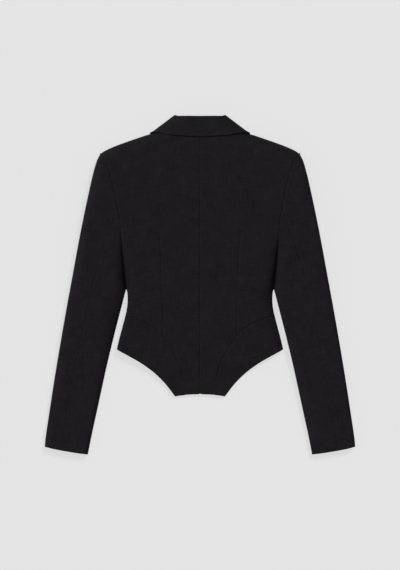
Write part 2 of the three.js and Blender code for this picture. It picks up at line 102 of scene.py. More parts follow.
BODY_FOLD_FADE = 20.0  # the soft folds fade out over this width beside a folded edge
SLEEVE_FOLD_FADE = 18.0
RIM = 0.3  # a grid stops this far inside its border, and its rounded edge reaches just past it
RIM_FADE = 6.0  # width over which the grid is drawn in
RIM_RINGS = ((0.9, 0.8), (0.6, 1.9), (-0.6, 1.9), (-0.9, 0.8))  # share of half thickness, of RIM
SLEEVE_GRAIN = 10.0  # degrees that a sleeve's grain leans out from the centre back's

NECK = [(0, 325), (20, 325.6), (48, 329), (75.4, 335.9)]
SHOULDER = [
    (75.4, 335.9), (86.9, 327.5), (97, 320), (104, 316), (114.2, 312.9), (138.9, 304.5),
    (162.8, 296.1), (184.7, 287.7), (201.7, 279.3), (209, 274),
]
SLEEVE_OUTER = [
    (209, 274), (215.3, 262.5), (223.8, 235.2), (235.3, 184.8), (245.9, 134.4), (255.7, 84),
    (264.9, 33.6), (274.2, -16.8), (283.3, -67.2), (292.1, -117.6), (300.6, -168),
    (308.7, -218.4), (316.3, -268.8), (323.8, -319.2), (326, -340.2),
]
SLEEVE_INNER = [
    (154.5, -9), (157.1, -16.8), (163.5, -42), (170.1, -67.2), (182.9, -117.6), (195, -168),
    (206.1, -218.4), (217, -268.8), (228, -319.2), (235.3, -356.5),
]
CUFF = [
    (235.3, -356.5), (249.3, -354.9), (264.5, -352.8), (289, -348.6), (310, -344.4),
    (326, -340.2),
]
SIDE = [
    (154.5, -9), (152.6, -16.8), (151.9, -29), (152.3, -42), (154.6, -57), (157.1, -67.2),
    (163.7, -92.4), (170.3, -117.6), (174.5, -136),
]
BACK_ARMHOLE = [
    (154.5, -9), (160, 40), (164, 84), (165.7, 115), (170, 145), (182, 207), (198, 260),
    (209, 274),
]
FRONT_ARMHOLE = [
    (154.5, -9), (150.5, 25), (150, 70), (153, 130), (165, 190), (190, 248), (209, 274),
]
HIP_SEAM = [
    (31, -232), (33, -208), (39, -179), (49, -154), (66, -124), (85, -100), (112.5, -81),
    (141.7, -69.6), (157.1, -67.2),
]
BACK_HEM = [(0, -229), (3, -230), (10, -230.4), (20, -230.6), (31, -231.9)]
TAIL_END = [(31, -231.9), (41, -232.9), (52.5, -234.7)]
HIP_HEM = [
    (52.5, -234.7), (63, -220.3), (73.5, -207.3), (84, -196.3), (94.5, -186.5), (105, -178),
    (126, -163.5), (147, -151.5), (157, -146), (167, -140.5), (174.5, -136),
]
DART_FOOT = (76.6, -109.6)
DART_TOP_Y = 108.0
DART_LINE = [DART_FOOT, (80, 20), (84.7, 108), (90, 220), (99, 318.7)]
BACK_SLEEVE_SEAM = [
    (172.6, 160), (190, 110), (210, 53), (224.5, -4), (239.5, -66), (251, -121), (262, -179),
    (272.5, -232), (282, -285), (289, -348.6),
]
FRONT_SLEEVE_SEAM = [
    (150, 62), (166, 0), (180, -50), (196, -110), (212, -175), (228, -240), (243, -305),
    (254, -354.3),
]
FRONT_NECK = [(50, 300), (55, 309), (64, 322), (75.4, 335.9)]
FALL_EDGE = [(0, 310.2), (47, 312.5), (92, 317), (104, 316)]
FALL_FOLD = [(0, 351.2), (20, 351.7), (41, 352.4), (52.6, 353)]
FALL_SIDE = [(104, 316), (97, 320), (86.9, 327.5), (75.4, 335.9), (52.6, 353)]
UNDER_EDGE = [(104, 316), (103, 301), (98, 288), (88, 276)]
UNDER_FOLD = [(52.6, 353), (49, 335), (45, 318), (42.5, 303)]
STAND_TOP = [(0, 347.8), (20, 348.3), (41, 348.9), (55.3, 351)]
STAND_UNDER_NECK = [(75.4, 335.9), (66.5, 325), (60.4, 317)]
STAND_UNDER_TOP = [(55.3, 351), (53.2, 337), (51.2, 325)]
LAPEL_TOP = (90, 272.6)  # a lapel's upper edge curves through here
# The fronts' own plan lines. The polygons mark where a front lies over a lapel, the collar or the
# button, and where the left front lies over the right one. The lapel's cut is in metres.
FRONTS = {
    "right": {
        "edge": [(-60, -166), (-60, -90), (-60, -22)],
        "roll": [(-60, -22), (50, 300)],
        "hem": [(-60, -166), (0, -168), (80, -161), (140, -147), (174.5, -136)],
        "lapel_roll": [(-57, -15), (50, 296.4)],
        "lapel_edge": [(-53, -17), (-5, 90), (55, 180), (92, 235), (106, 263)],
        "over": [(-70, -180), (45, -180), (70, 150), (115, 255), (112, 330), (40, 360), (-70, 0)],
        "over_right": None,
        "lapel_cut": (0.064, 0.33),
    },
    "left": {
        "edge": [(-20, -167), (-20, -40), (-20, 58)],
        "roll": [(-20, 58), (50, 300)],
        "hem": [(-20, -167), (40, -166), (90, -159), (140, -147), (174.5, -136)],
        "lapel_roll": [(8.5, 152), (50, 296.4)],
        "lapel_edge": [(19, 124), (62, 195), (94, 240), (106, 263)],
        "over": [(0, 120), (60, 150), (115, 255), (112, 330), (40, 360)],
        "over_right": [(60, -180), (60, -22), (-50, 300), (-60, -180)],
        "lapel_cut": (0.064, 0.175),
    },
}
# Cut of each other cloth piece in metres: width, length
CUTS = {
    "front": (0.29, 0.51), "back": (0.215, 0.585), "hip_panel": (0.18, 0.18),
    "upper_sleeve": (0.27, 0.65), "under_sleeve": (0.19, 0.54),
    "collar_fall": (0.42, 0.075), "collar_stand": (0.30, 0.035),
}

# Height of the upper layer by Y: (y, z)
BODY_HEIGHT = [
    (-240, 3.6), (-230, 4.2), (-200, 7), (-165, 11), (-136, 14), (-100, 17.5), (-50, 21),
    (0, 23.5), (84, 28), (150, 31), (240, 31.5), (300, 28.5), (325, 25.5), (360, 22),
]
SLEEVE_HEIGHT = [
    (-360, 13.5), (-300, 15), (-200, 18), (-100, 21), (0, 23.5), (84, 28), (150, 31),
    (240, 31.5), (300, 28.5),
]
# Width over which the upper layer rounds up from a folded edge: (y, width), by the side's sign
# along X. The edges are the outer one, the body's side and the sleeve's inner edge.
ROLLS = {
    1: {
        "outer": [(250, 7), (310, 28)],
        "side": [(0, 48)],
        "sleeve": [(-240, 28), (-150, 18), (-30, 9)],
    },
    -1: {
        "outer": [(250, 22), (310, 28)],
        "side": [(0, 10)],
        "sleeve": [(-240, 12), (-140, 32), (-40, 46)],
    },
}
ROLL_BLEND = 12.0  # the side's roll turns into the sleeve's over twice this, at the underarm

# Soft folds in the upper layer, in scene X and Y: middle, direction in degrees, half length,
# half width and height, which is below zero for a trough
BODY_FOLDS = [
    (-118, 22, 62, 70, 13, -1.6), (120, 14, 118, 60, 12, -1.3), (-60, -38, 12, 60, 11, 1.0),
    (52, -30, -9, 66, 12, 0.9), (-128, 150, 84, 80, 14, -1.2), (132, 172, 98, 74, 13, -1.1),
    (-40, 255, -14, 58, 14, 0.8), (62, 262, 10, 62, 15, 0.7), (-136, -52, 35, 34, 9, -1.2),
    (134, -44, 148, 32, 9, -1.1), (24, 120, 95, 90, 18, 0.6), (-34, 60, 84, 80, 16, -0.6),
]
DART_PIT = (86, 109, 90, 5, 2.4, -1.3)  # a short pull at the top of the right dart
SLEEVE_FOLDS = [
    (206, 44, 36, 44, 9, -2.2), (232, 8, 28, 40, 9, 1.6), (226, -38, 20, 44, 9, -1.8),
    (262, -62, 150, 32, 9, 1.1), (250, -130, 12, 38, 11, -1.2), (238, 150, 68, 50, 12, -1.4),
    (292, -214, 100, 60, 9, 0.9), (270, -288, 14, 32, 11, -0.9), (214, 208, 82, 40, 9, 1.0),
]
LEFT_SLEEVE_FOLDS = [
    (-204, 58, 142, 46, 10, -2.4), (-228, 20, 150, 44, 9, 1.7), (-222, -26, 162, 44, 9, -1.7),
    (-258, -78, 34, 30, 9, 1.0), (-246, -148, 166, 40, 11, -1.1), (-240, 138, 112, 54, 12, -1.2),
    (-288, -200, 82, 62, 9, 0.9), (-266, -300, 168, 30, 11, -1.0), (-212, 214, 98, 40, 9, 1.0),
]


class Line:
    """A plan curve that gives points by their share of its length."""

    def __init__(self, points):
        self.points = np.asarray(points, float)
        steps = np.hypot(*np.diff(self.points, axis=0).T)
        run = np.concatenate([[0], np.cumsum(steps)])
        self.size = run[-1]
        self.shares = run / run[-1]

    def __call__(self, t):
        return np.stack([np.interp(t, self.shares, self.points[:, k]) for k in (0, 1)], -1)

    def part(self, start, end, samples=240):
        return Line(self(np.linspace(start, end, samples)))

    def share_at_y(self, y):
        t = np.linspace(0, 1, 1201)
        return t[np.argmin(abs(self(t)[:, 1] - y))]


def curve(table, samples=40):
    """A centripetal Catmull-Rom curve through a table of plan points."""
    p = np.array(table, float)
    p = np.vstack([2 * p[0] - p[1], p, 2 * p[-1] - p[-2]])
    t = np.linspace(0, 1, samples, endpoint=False)[:, None]
    out = []
    for a, b, c, d in zip(p, p[1:], p[2:], p[3:]):
        k = [math.sqrt(np.hypot(*(q - r))) for q, r in ((b, a), (c, b), (d, c))]
        start = ((b - a) / k[0] - (c - a) / (k[0] + k[1]) + (c - b) / k[1]) * k[1]
        end = ((c - b) / k[1] - (d - b) / (k[1] + k[2]) + (d - c) / k[2]) * k[1]
        out.append((2 * t**3 - 3 * t**2 + 1) * b + (t**3 - 2 * t**2 + t) * start
                   + (3 * t**2 - 2 * t**3) * c + (t**3 - t**2) * end)
    return Line(np.vstack(out + [p[-2:-1]]))


def joined(*lines):
    """One line from several that follow each other end to end."""
    points = [lines[0].points] + [line.points[1:] for line in lines[1:]]
    return Line(np.vstack(points))


def smooth(t):
    """An even rise from 0 to 1, level at both ends."""
    t = np.clip(t, 0, 1)
    return t * t * (3 - 2 * t)


def rounded(t):
    """A quarter circle's rise from 0 to 1, steep at its start."""
    return np.sqrt(1 - (1 - np.clip(t, 0, 1)) ** 2)


def lower_of(a, b, blend=2.0):
    """The lower of two heights, blended where they are nearly equal."""
    h = np.clip(0.5 + 0.5 * (b - a) / blend, 0, 1)
    return b + (a - b) * h - blend * h * (1 - h)


def height_table(rows):
    """A smooth height by Y through the rows of a table."""
    ys, zs = np.array(rows, float).T
    slopes = np.gradient(zs, ys)

    def at(y):
        i = np.clip(np.searchsorted(ys, y) - 1, 0, len(ys) - 2)
        w = ys[i + 1] - ys[i]
        t = np.clip((y - ys[i]) / w, 0, 1)
        return (zs[i] * (1 - t) ** 2 * (1 + 2 * t) + zs[i + 1] * t**2 * (3 - 2 * t)
                + w * t * (1 - t) * ((1 - t) * slopes[i] - t * slopes[i + 1]))
    return at


body_height, sleeve_height = height_table(BODY_HEIGHT), height_table(SLEEVE_HEIGHT)


def nearest(line, x, y, spacing=3.0):
    """Distance to a line and the share of its length at the nearest point."""
    n = max(2, int(line.size / spacing))
    p = line(np.linspace(0, 1, n + 1))
    a, step = p[:-1], np.diff(p, axis=0)
    q = np.stack([x.ravel(), y.ravel()], -1)
    best, share = np.full(len(q), np.inf), np.zeros(len(q))
    for i in range(n):
        t = np.clip(((q - a[i]) @ step[i]) / (step[i] @ step[i]), 0, 1)
        d = np.hypot(*(q - a[i] - t[:, None] * step[i]).T)
        closer = d < best
        best = np.where(closer, d, best)
        share = np.where(closer, (i + t) / n, share)
    return best.reshape(x.shape), share.reshape(x.shape)


neck, shoulder, cuff = curve(NECK), curve(SHOULDER), curve(CUFF)
sleeve_outer, sleeve_inner, side = curve(SLEEVE_OUTER), curve(SLEEVE_INNER), curve(SIDE)
back_armhole, front_armhole = curve(BACK_ARMHOLE), curve(FRONT_ARMHOLE)
hip_seam, hip_hem = curve(HIP_SEAM), curve(HIP_HEM)
back_hem, tail_end = curve(BACK_HEM), curve(TAIL_END)
back_seam, front_seam = curve(BACK_SLEEVE_SEAM), curve(FRONT_SLEEVE_SEAM)
dart_line, front_neck, fall_side = curve(DART_LINE), curve(FRONT_NECK), curve(FALL_SIDE)
centre = Line([BACK_HEM[0], NECK[0]])
dart_seam = dart_line.part(0, dart_line.share_at_y(DART_TOP_Y))
side_at_hip = side.share_at_y(HIP_SEAM[-1][1])
neck_share = fall_side.share_at_y(NECK[-1][1])
OUTER_EDGE = joined(fall_side.part(1, neck_share), shoulder, sleeve_outer)
VALLEY_LINE = back_armhole.part(0, back_armhole.share_at_y(VALLEY_TOP_Y))


def edge_distances(x, y):
    """Distances to the outer edge, the body's side and the sleeve's inner edge."""
    return [nearest(line, x, y)[0] for line in (OUTER_EDGE, side, sleeve_inner)]


def fold_distance(x, y):
    """Distance to the nearest folded edge."""
    return np.minimum.reduce(edge_distances(x, y))


def upper_z(x, y, height, side_sign):
    """Height of the upper layer, with its rolled edges and the dip between sleeve and body."""
    top = height(y)
    widths = {edge: np.interp(y, *np.array(rows, float).T)
              for edge, rows in ROLLS[side_sign].items()}
    outer, body, sleeve = edge_distances(x, y)
    on_sleeve = smooth((body - sleeve + ROLL_BLEND) / (2 * ROLL_BLEND))
    inner_width = widths["side"] + (widths["sleeve"] - widths["side"]) * on_sleeve
    share = np.minimum(outer / widths["outer"], np.minimum(body, sleeve) / inner_width)
    fold = FOLD_Z + (top - FOLD_Z) * rounded(share)
    dip, share = nearest(VALLEY_LINE, x, y)
    low = FOLD_Z + (top - FOLD_Z) * smooth(share) ** 1.4
    return lower_of(fold, low + (top - low) * rounded((dip - CREVICE * (1 - share)) / VALLEY))


def lower_z(x, y, base):
    """Height of the lower layer, which turns up to the folded edges from its base."""
    low = base(x, y)
    return low + (FOLD_Z - low) * (1 - rounded(fold_distance(x, y) / TURN))


def folds(x, y, rows):
    """Height of soft folds given in rows."""
    z = np.zeros_like(x)
    for mx, my, degrees, length, width, height in rows:
        a = math.radians(degrees)
        along = (x - mx) * math.cos(a) + (y - my) * math.sin(a)
        across = (y - my) * math.cos(a) - (x - mx) * math.sin(a)
        bend = across + 0.12 * along**2 / length
        z += height * np.exp(-(bend / width) ** 2) * np.exp(-(along / length) ** 2 * 1.6)
    return z


def seam_relief(x, y, lines):
    """Stitched seams, as (line, depth): a narrow sunk line between two low pressed ridges."""
    z = np.zeros_like(x)
    for line, depth in lines:
        d = nearest(line, x, y)[0]
        z -= depth * np.exp(-(d / SEAM_WIDTH) ** 2)
        z += SEAM_RIDGE * np.exp(-((d - RIDGE_AT) / RIDGE_WIDTH) ** 2)
    return z


def dart_relief(x, y):
    """A dart: a narrow crease, deeper in its upper half, that fades out at its upper end."""
    d, share = nearest(dart_seam, x, y)
    fade = (0.6 + 0.4 * smooth((share - 0.5) / 0.25)) * (1 - smooth((share - 0.93) / 0.07))
    ridge = DART_RIDGE * np.exp(-((d - DART_RIDGE_AT) / DART_RIDGE_WIDTH) ** 2)
    return fade * (ridge - DART_SINK * np.exp(-(d / DART_WIDTH) ** 2))


def patch(left, right, bottom, top):
    """A plan patch between four lines; u runs along bottom and top, v along left and right."""
    def at(us, vs):
        u, v = np.meshgrid(us, vs)
        u, v = u[..., None], v[..., None]
        return ((1 - u) * left(v[..., 0]) + u * right(v[..., 0])
                + (1 - v) * bottom(u[..., 0]) + v * top(u[..., 0])
                - (1 - u) * (1 - v) * bottom(0.0) - u * (1 - v) * bottom(1.0)
                - (1 - u) * v * top(0.0) - u * v * top(1.0))
    return at


DRAWN_IN = ("seam", "free")  # the kinds of border that lie RIM inside the plan's line
# Distances in from a border at which its grid lines lie, by the kind of border
NEAR_EDGE = np.array([0, 0.6, 1.3, 2.2, 3.3])
ROLL_STEPS = ROLL_ZONE * (1 - np.cos(np.radians([0, 7, 13, 19, 26, 33, 40, 48, 56, 64, 72, 81, 90])))
TURN_STEPS = TURN * (1 - np.cos(np.radians([0, 12, 24, 37, 50, 63, 76, 90])))
ENDS = {
    "plain": np.array([0.0]), "free": NEAR_EDGE, "seam": NEAR_EDGE,
    "roll": ROLL_STEPS, "turn": TURN_STEPS,
}


def stations(length, start, end, step=STEP):
    """Shares of a length, close together where the cloth bends or meets a seam.

    The length is about that of the borders which the grid lines cross.
    """
    a, b = ENDS[start], length - ENDS[end][::-1]
    b = b[b > a[-1] + 0.5]
    middle = np.linspace(a[-1], b[0], max(2, int((b[0] - a[-1]) / step) + 1))[1:-1]
    return np.concatenate([a, middle, b]) / length


def drawn_in(xy, left="plain", right="plain", bottom="plain", top="plain"):
    """Moves the seam and free borders of a plan grid in, square to each border."""
    xy = xy.copy()
    for kind, grid in ((bottom, xy), (top, xy[::-1]), (left, xy.transpose(1, 0, 2)),
                       (right, xy[:, ::-1].transpose(1, 0, 2))):
        if kind not in DRAWN_IN:
            continue
        line = grid[0].copy()
        along = np.gradient(line, axis=0)
        square = np.stack([-along[:, 1], along[:, 0]], -1)
        square /= np.linalg.norm(square, axis=1, keepdims=True)
        middle = len(line) // 2
        square *= np.sign(square[middle] @ (grid[3, middle] - line[middle]))
        for row in grid[:len(NEAR_EDGE) + 1]:
            far = np.abs(np.sum((row - line) * square, -1, keepdims=True))
            row += square * RIM * np.clip(1 - far / RIM_FADE, 0, 1)
    return xy


def normals_of(points):
    n = np.cross(np.gradient(points, axis=1), np.gradient(points, axis=0))
    return n / (np.linalg.norm(n, axis=-1, keepdims=True) + 1e-12)


def surface(xy, z):
    """Space points from plan points and their heights."""
    return np.concatenate([xy, z[..., None]], -1)


def smooth_mesh(name, vertices, faces, grain=None):
    """An object with smooth faces from vertices in mm, with its cloth coordinates as a UV map."""
    mesh = bpy.data.meshes.new(name)
    mesh.from_pydata((np.asarray(vertices) * MM).tolist(), [], faces)
    mesh.polygons.foreach_set("use_smooth", [True] * len(mesh.polygons))
    if grain is not None:
        layer = mesh.uv_layers.new(name="grain")
        loops = np.empty(len(mesh.loops), int)
        mesh.loops.foreach_get("vertex_index", loops)
        layer.data.foreach_set("uv", (np.asarray(grain)[loops] * MM).ravel())
    piece = bpy.data.objects.new(name, mesh)
    bpy.context.scene.collection.objects.link(piece)
    return piece


def grain_of(points, degrees):
    """Cloth coordinates in mm, with every rise and fold counted in.

    They run square to and along a grain at this angle in plan, or along the piece where it is None.
    """
    coordinates = []
    for axis, quarter in ((1, 0), (0, 90)):
        place = points
        if degrees is not None:
            a = math.radians(degrees + quarter)
            place = np.stack([points[..., 0] * math.cos(a) + points[..., 1] * math.sin(a),
                              points[..., 2]], -1)
        run = np.cumsum(np.linalg.norm(np.diff(place, axis=axis), axis=-1), axis=axis)
        run = np.insert(run, 0, 0, axis=axis)
        start = points.shape[axis] // 4
        run -= run.take([start], axis)
        first, second = place[..., 0].take([start], axis), place[..., 0].take([start + 1], axis)
        coordinates.append(run if degrees is None else first + run * np.sign(second - first))
    return np.stack(coordinates, -1)


def wall(name, points, outward, thick=CLOTH, grain_angle=None):
    """A cloth piece as a closed shell with rounded edges, from its outer grid of points.

    The grid's first columns face the outward side.
    """
    grain = grain_of(points, grain_angle)
    normals = normals_of(points)
    if np.sum(normals[:, 1:6] * outward) < 0:
        points, grain = points[:, ::-1], grain[:, ::-1]
        normals = normals_of(points)
    rows, cols = points.shape[:2]
    grain = grain.reshape(-1, 2)
    outer = points.reshape(-1, 3)
    n = normals.reshape(-1, 3)
    inner = outer - n * thick
    index = np.arange(rows * cols).reshape(rows, cols)
    border = np.concatenate([index[0, :-1], index[:-1, -1], index[-1, :0:-1], index[:0:-1, 0]])
    tangent = outer[np.roll(border, -1)] - outer[np.roll(border, 1)]
    out = np.cross(tangent, n[border])
    out /= np.linalg.norm(out, axis=1, keepdims=True) + 1e-9
    middle = (outer[border] + inner[border]) / 2
    rings = [middle + n[border] * thick / 2 * height + out * RIM * bulge
             for height, bulge in RIM_RINGS]
    count, m = rows * cols, len(border)
    a, b = index[:-1, :-1].ravel(), index[:-1, 1:].ravel()
    c, d = index[1:, 1:].ravel(), index[1:, :-1].ravel()
    faces = [*zip(a, b, c, d), *zip(count + d, count + c, count + b, count + a)]
    loops = [border] + [2 * count + k * m + np.arange(m) for k in range(len(rings))]
    loops.append(count + border)
    for first, second in zip(loops, loops[1:]):
        faces += zip(np.roll(first, -1), first, second, np.roll(second, -1))
    faces = [tuple(int(i) for i in face) for face in faces]
    grain = np.vstack([grain, grain] + [grain[border]] * len(rings))
    return smooth_mesh(name, np.vstack([outer, inner] + rings), faces, grain)


def body_upper(xy, side_sign, seams):
    """The upper body layer over a plan grid, with its (line, depth) seams and its soft folds."""
    x, y = xy[..., 0], xy[..., 1]
    z = upper_z(x, y, body_height, side_sign) + seam_relief(x, y, seams)
    z += folds(side_sign * x, y, BODY_FOLDS) * smooth(fold_distance(x, y) / BODY_FOLD_FADE)
    return surface(xy, np.maximum(z, FOLD_Z + RIM))


def back_points(side_sign):
    """A back panel as two patches that share the dart's line."""
    foot = hip_seam.share_at_y(DART_FOOT[1])
    top = joined(neck, shoulder)
    head = nearest(top, *np.array(DART_LINE[-1])[:, None])[1][0]
    vs = stations(500, "seam", "roll", 3.6)
    inner = patch(centre, dart_line, joined(back_hem, hip_seam.part(0, foot)), top.part(0, head))
    outer = patch(dart_line, joined(side.part(side_at_hip, 0), back_armhole),
                  hip_seam.part(foot, 1), top.part(head, 1))
    us = stations(82, "seam", "seam")
    ws = stations(86, "seam", "roll")
    xy = np.concatenate([inner(us, vs), outer(ws[1:], vs)], 1)
    xy = drawn_in(xy, left="seam", bottom="seam")
    flatter = CENTRE_FADE * smooth((xy[..., 1] - CENTRE_FADE_Y) / CENTRE_FADE_RUN)
    centre_sink = BODY_SINK * (1 - flatter)
    points = body_upper(xy, side_sign, [(centre, centre_sink), (hip_seam, BODY_SINK),
                                        (back_armhole, BODY_SINK)])
    points[..., 2] += (side_sign > 0) * folds(xy[..., 0], xy[..., 1], [DART_PIT])
    points[..., 2] += dart_relief(xy[..., 0], xy[..., 1])
    return points


def hip_points(side_sign):
    """A hip panel, from the tail's end to the side edge and from hip seam to hem."""
    plan = patch(tail_end, side.part(side_at_hip, 1), hip_seam, hip_hem)
    xy = plan(stations(210, "free", "roll", 3.4), stations(62, "seam", "free", 3.0))
    xy = drawn_in(xy, left="free", bottom="seam", top="free")
    return body_upper(xy, side_sign, [(hip_seam, BODY_SINK)])


def beyond(polygon, x, y):
    """Distance to a polygon, 0 inside it."""
    loop = Line(polygon + polygon[:1])
    d = nearest(loop, x, y)[0]
    inside = np.zeros(x.shape, bool)
    for (ax, ay), (bx, by) in zip(polygon, polygon[1:] + polygon[:1]):
        if ay != by:
            inside ^= ((ay > y) != (by > y)) & (x < ax + (bx - ax) * (y - ay) / (by - ay))
    return np.where(inside, 0, d)


def front_points(front):
    """A front's outer face, stepped up where it lies over other pieces."""
    def base(x, y):
        over = beyond(front["over"], x, y)
        low = STEP_UP * (1 - smooth((over - STEP_MARGIN) / RAMP))
        if front["over_right"]:
            over = beyond(front["over_right"], x, y)
            low = np.maximum(low, STEP_OVER * (1 - smooth((over - OVER_MARGIN) / RAMP)))
        return low
    plan = patch(joined(curve(front["edge"]), Line(front["roll"])),
                 joined(side.part(1, 0), front_armhole), curve(front["hem"]),
                 joined(front_neck, shoulder))
    xy = plan(stations(190, "free", "turn", 5), stations(460, "free", "turn", 5))
    xy = drawn_in(xy, left="free", bottom="free")
    z = lower_z(xy[..., 0], xy[..., 1], base)
    return surface(xy, np.minimum(z, FOLD_Z - RIM))


def lapel_points(front):
    """A lapel's outer face, flat on the floor."""
    roll, edge = Line(front["lapel_roll"]), curve(front["lapel_edge"])
    plan = patch(roll, edge, Line([front["lapel_roll"][0], front["lapel_edge"][0]]),
                 curve([front["lapel_roll"][-1], LAPEL_TOP, front["lapel_edge"][-1]]))
    xy = plan(stations(60, "free", "free"), stations(260, "free", "free"))
    xy = drawn_in(xy, "free", "free", "free", "free")
    return surface(xy, np.zeros(xy.shape[:2]))


def sleeve_points(side_sign):
    """Outer grids of a sleeve's upper and under pieces, each wrapped round its fold."""
    rows = SLEEVE_FOLDS if side_sign > 0 else LEFT_SLEEVE_FOLDS
    back_at = back_armhole.share_at_y(BACK_SLEEVE_SEAM[0][1])
    front_at = front_armhole.share_at_y(FRONT_SLEEVE_SEAM[0][1])
    cuff_back = cuff.share_at_y(BACK_SLEEVE_SEAM[-1][1])
    cuff_front = cuff.share_at_y(FRONT_SLEEVE_SEAM[-1][1])
    vs = stations(560, "seam", "free", 3.6)

    def top(edge, toward, width):
        plan = patch(back_seam, edge, back_armhole.part(back_at, toward),
                     cuff.part(cuff_back, toward))
        xy = drawn_in(plan(stations(width, "seam", "roll"), vs), "seam", "plain", "seam", "free")
        x, y = xy[..., 0], xy[..., 1]
        z = upper_z(x, y, sleeve_height, side_sign)
        z += seam_relief(x, y, [(back_seam, SLEEVE_SINK), (back_armhole, BODY_SINK)])
        z += folds(side_sign * x, y, rows) * smooth(fold_distance(x, y) / SLEEVE_FOLD_FADE)
        return surface(xy, z)

    def bottom(edge, toward, width):
        plan = patch(front_seam, edge, front_armhole.part(front_at, toward),
                     cuff.part(cuff_front, toward))
        xy = drawn_in(plan(stations(width, "seam", "turn", 6), vs), "seam", "plain", "seam",
                      "free")
        return surface(xy, lower_z(xy[..., 0], xy[..., 1], lambda x, y: 0 * x))

    def wrapped(upper, lower):
        return np.concatenate([upper, lower[:, ::-1][:, 1:]], 1)
    return {
        "upper_sleeve": wrapped(top(sleeve_outer, 1, 80), bottom(sleeve_outer, 1, 120)),
        "under_sleeve": wrapped(top(sleeve_inner, 0, 76), bottom(sleeve_inner, 0, 30)),
    }


def round_neck(top, under):
    """Joins the grids above and below the shoulder fold, and mirrors them to the other half."""
    half = np.concatenate([top, under[:, ::-1][:, 1:]], 1)
    return np.concatenate([half[:, :0:-1] * (-1, 1, 1), half], 1)


def neck_base(top_plan, under_plan, us, ws, vs):
    """The cloth level that the collar follows, from the middle of the back round to the front."""
    xy = drawn_in(top_plan(us, vs), bottom="seam")
    low = drawn_in(under_plan(ws, vs), left="free", bottom="seam")
    # The shoulders' rolls of both sides are alike up here
    top = surface(xy, upper_z(xy[..., 0], xy[..., 1], body_height, -1))
    under = surface(low, lower_z(low[..., 0], low[..., 1], lambda x, y: STEP_UP + 0 * x))
    return round_neck(top, under)


def collar_points():
    """The collar's fall, its fold and a short return inside the fold."""
    us = stations(112, "plain", "roll", 3.5)
    ws = stations(45, "free", "turn", 3.5)
    top = patch(Line([FALL_EDGE[0], FALL_FOLD[0]]), fall_side, curve(FALL_EDGE),
                curve(FALL_FOLD))
    under = patch(Line([UNDER_EDGE[-1], UNDER_FOLD[-1]]), fall_side,
                  curve(UNDER_EDGE).part(1, 0), curve(UNDER_FOLD).part(1, 0))
    base = neck_base(top, under, us, ws, stations(44, "free", "plain", 2.2))
    n = normals_of(base)
    n *= np.sign(n[0, n.shape[1] // 2, 2])
    free_edge = np.linspace(1, 0, len(base))[:, None, None] ** 2
    on_back = smooth((base[..., 2:] - FOLD_Z) / COLLAR_EASE)
    spring = COLLAR_SPRING * on_back - COLLAR_SETTLE * (1 - on_back)
    fall = base + n * (COLLAR_LIFT + free_edge * spring)
    out = fall[-1] - fall[-2]
    out -= n[-1] * np.sum(out * n[-1], -1, keepdims=True)
    out /= np.linalg.norm(out, axis=-1, keepdims=True)
    bends = []
    for degrees in range(BEND_STEP, 181, BEND_STEP):
        a = math.radians(degrees)
        turned = n[-1] * math.cos(a) + out * math.sin(a)
        bends.append(fall[-1] - n[-1] * COLLAR_BEND + turned * COLLAR_BEND)
    bends.append(bends[-1] - out * COLLAR_RETURN)
    return np.concatenate([fall, np.array(bends)], 0)


def stand_points():
    """The collar's stand, from the neck seam up to its fold."""
    edge = fall_side.part(neck_share, fall_side.share_at_y(STAND_TOP[-1][1]))
    top = patch(Line([NECK[0], STAND_TOP[0]]), edge, neck, curve(STAND_TOP))
    under = patch(Line([STAND_UNDER_NECK[-1], STAND_UNDER_TOP[-1]]), edge,
                  curve(STAND_UNDER_NECK).part(1, 0), curve(STAND_UNDER_TOP).part(1, 0))
    return neck_base(top, under, stations(78, "plain", "roll", 4),
                     stations(25, "free", "turn", 4), stations(23, "seam", "plain", 4))


class Shading:
    """Short calls for adding nodes to a material."""

    def __init__(self, name):
        self.material = bpy.data.materials.new(name)
        self.material.use_nodes = True
        self.nodes = self.material.node_tree.nodes
        self.link = self.material.node_tree.links.new
        self.shader = self.nodes["Principled BSDF"]

    def noise(self, coordinates, scale, detail=2.0):
        noise = self.nodes.new("ShaderNodeTexNoise")
        noise.inputs["Scale"].default_value = scale
        noise.inputs["Detail"].default_value = detail
        self.link(coordinates, noise.inputs["Vector"])
        return noise.outputs["Fac"]

    def bands(self, coordinates, direction, scale, distortion):
        wave = self.nodes.new("ShaderNodeTexWave")
        wave.bands_direction = direction
        wave.inputs["Scale"].default_value = scale
        wave.inputs["Distortion"].default_value = distortion
        self.link(coordinates, wave.inputs["Vector"])
        return wave.outputs["Fac"]

    def stretched(self, coordinates, x, y):
        mapping = self.nodes.new("ShaderNodeMapping")
        mapping.inputs["Scale"].default_value = (x, y, 1)
        self.link(coordinates, mapping.inputs["Vector"])
        return mapping.outputs["Vector"]

    def weighted(self, terms, offset=0.0):
        """A sum of outputs, each with its weight."""
        total = None
        for output, weight in terms:
            node = self.nodes.new("ShaderNodeMath")
            node.operation = "MULTIPLY_ADD"
            self.link(output, node.inputs[0])
            node.inputs[1].default_value = weight
            if total is None:
                node.inputs[2].default_value = offset
            else:
                self.link(total, node.inputs[2])
            total = node.outputs[0]
        return total

    def blend(self, factor, low, high):
        mix = self.nodes.new("ShaderNodeMix")
        mix.data_type = "RGBA"
        mix.inputs["A"].default_value = (*low, 1)
        mix.inputs["B"].default_value = (*high, 1)
        self.link(factor, mix.inputs["Factor"])
        return mix.outputs["Result"]

    def bump(self, height, strength, distance, under=None):
        bump = self.nodes.new("ShaderNodeBump")
        bump.inputs["Strength"].default_value = strength
        bump.inputs["Distance"].default_value = distance
        self.link(height, bump.inputs["Height"])
        if under:
            self.link(under, bump.inputs["Normal"])
        return bump.outputs["Normal"]


DARK_YARN, LIGHT_YARN = (0.0063, 0.0054, 0.0068), (0.0157, 0.0138, 0.0168)


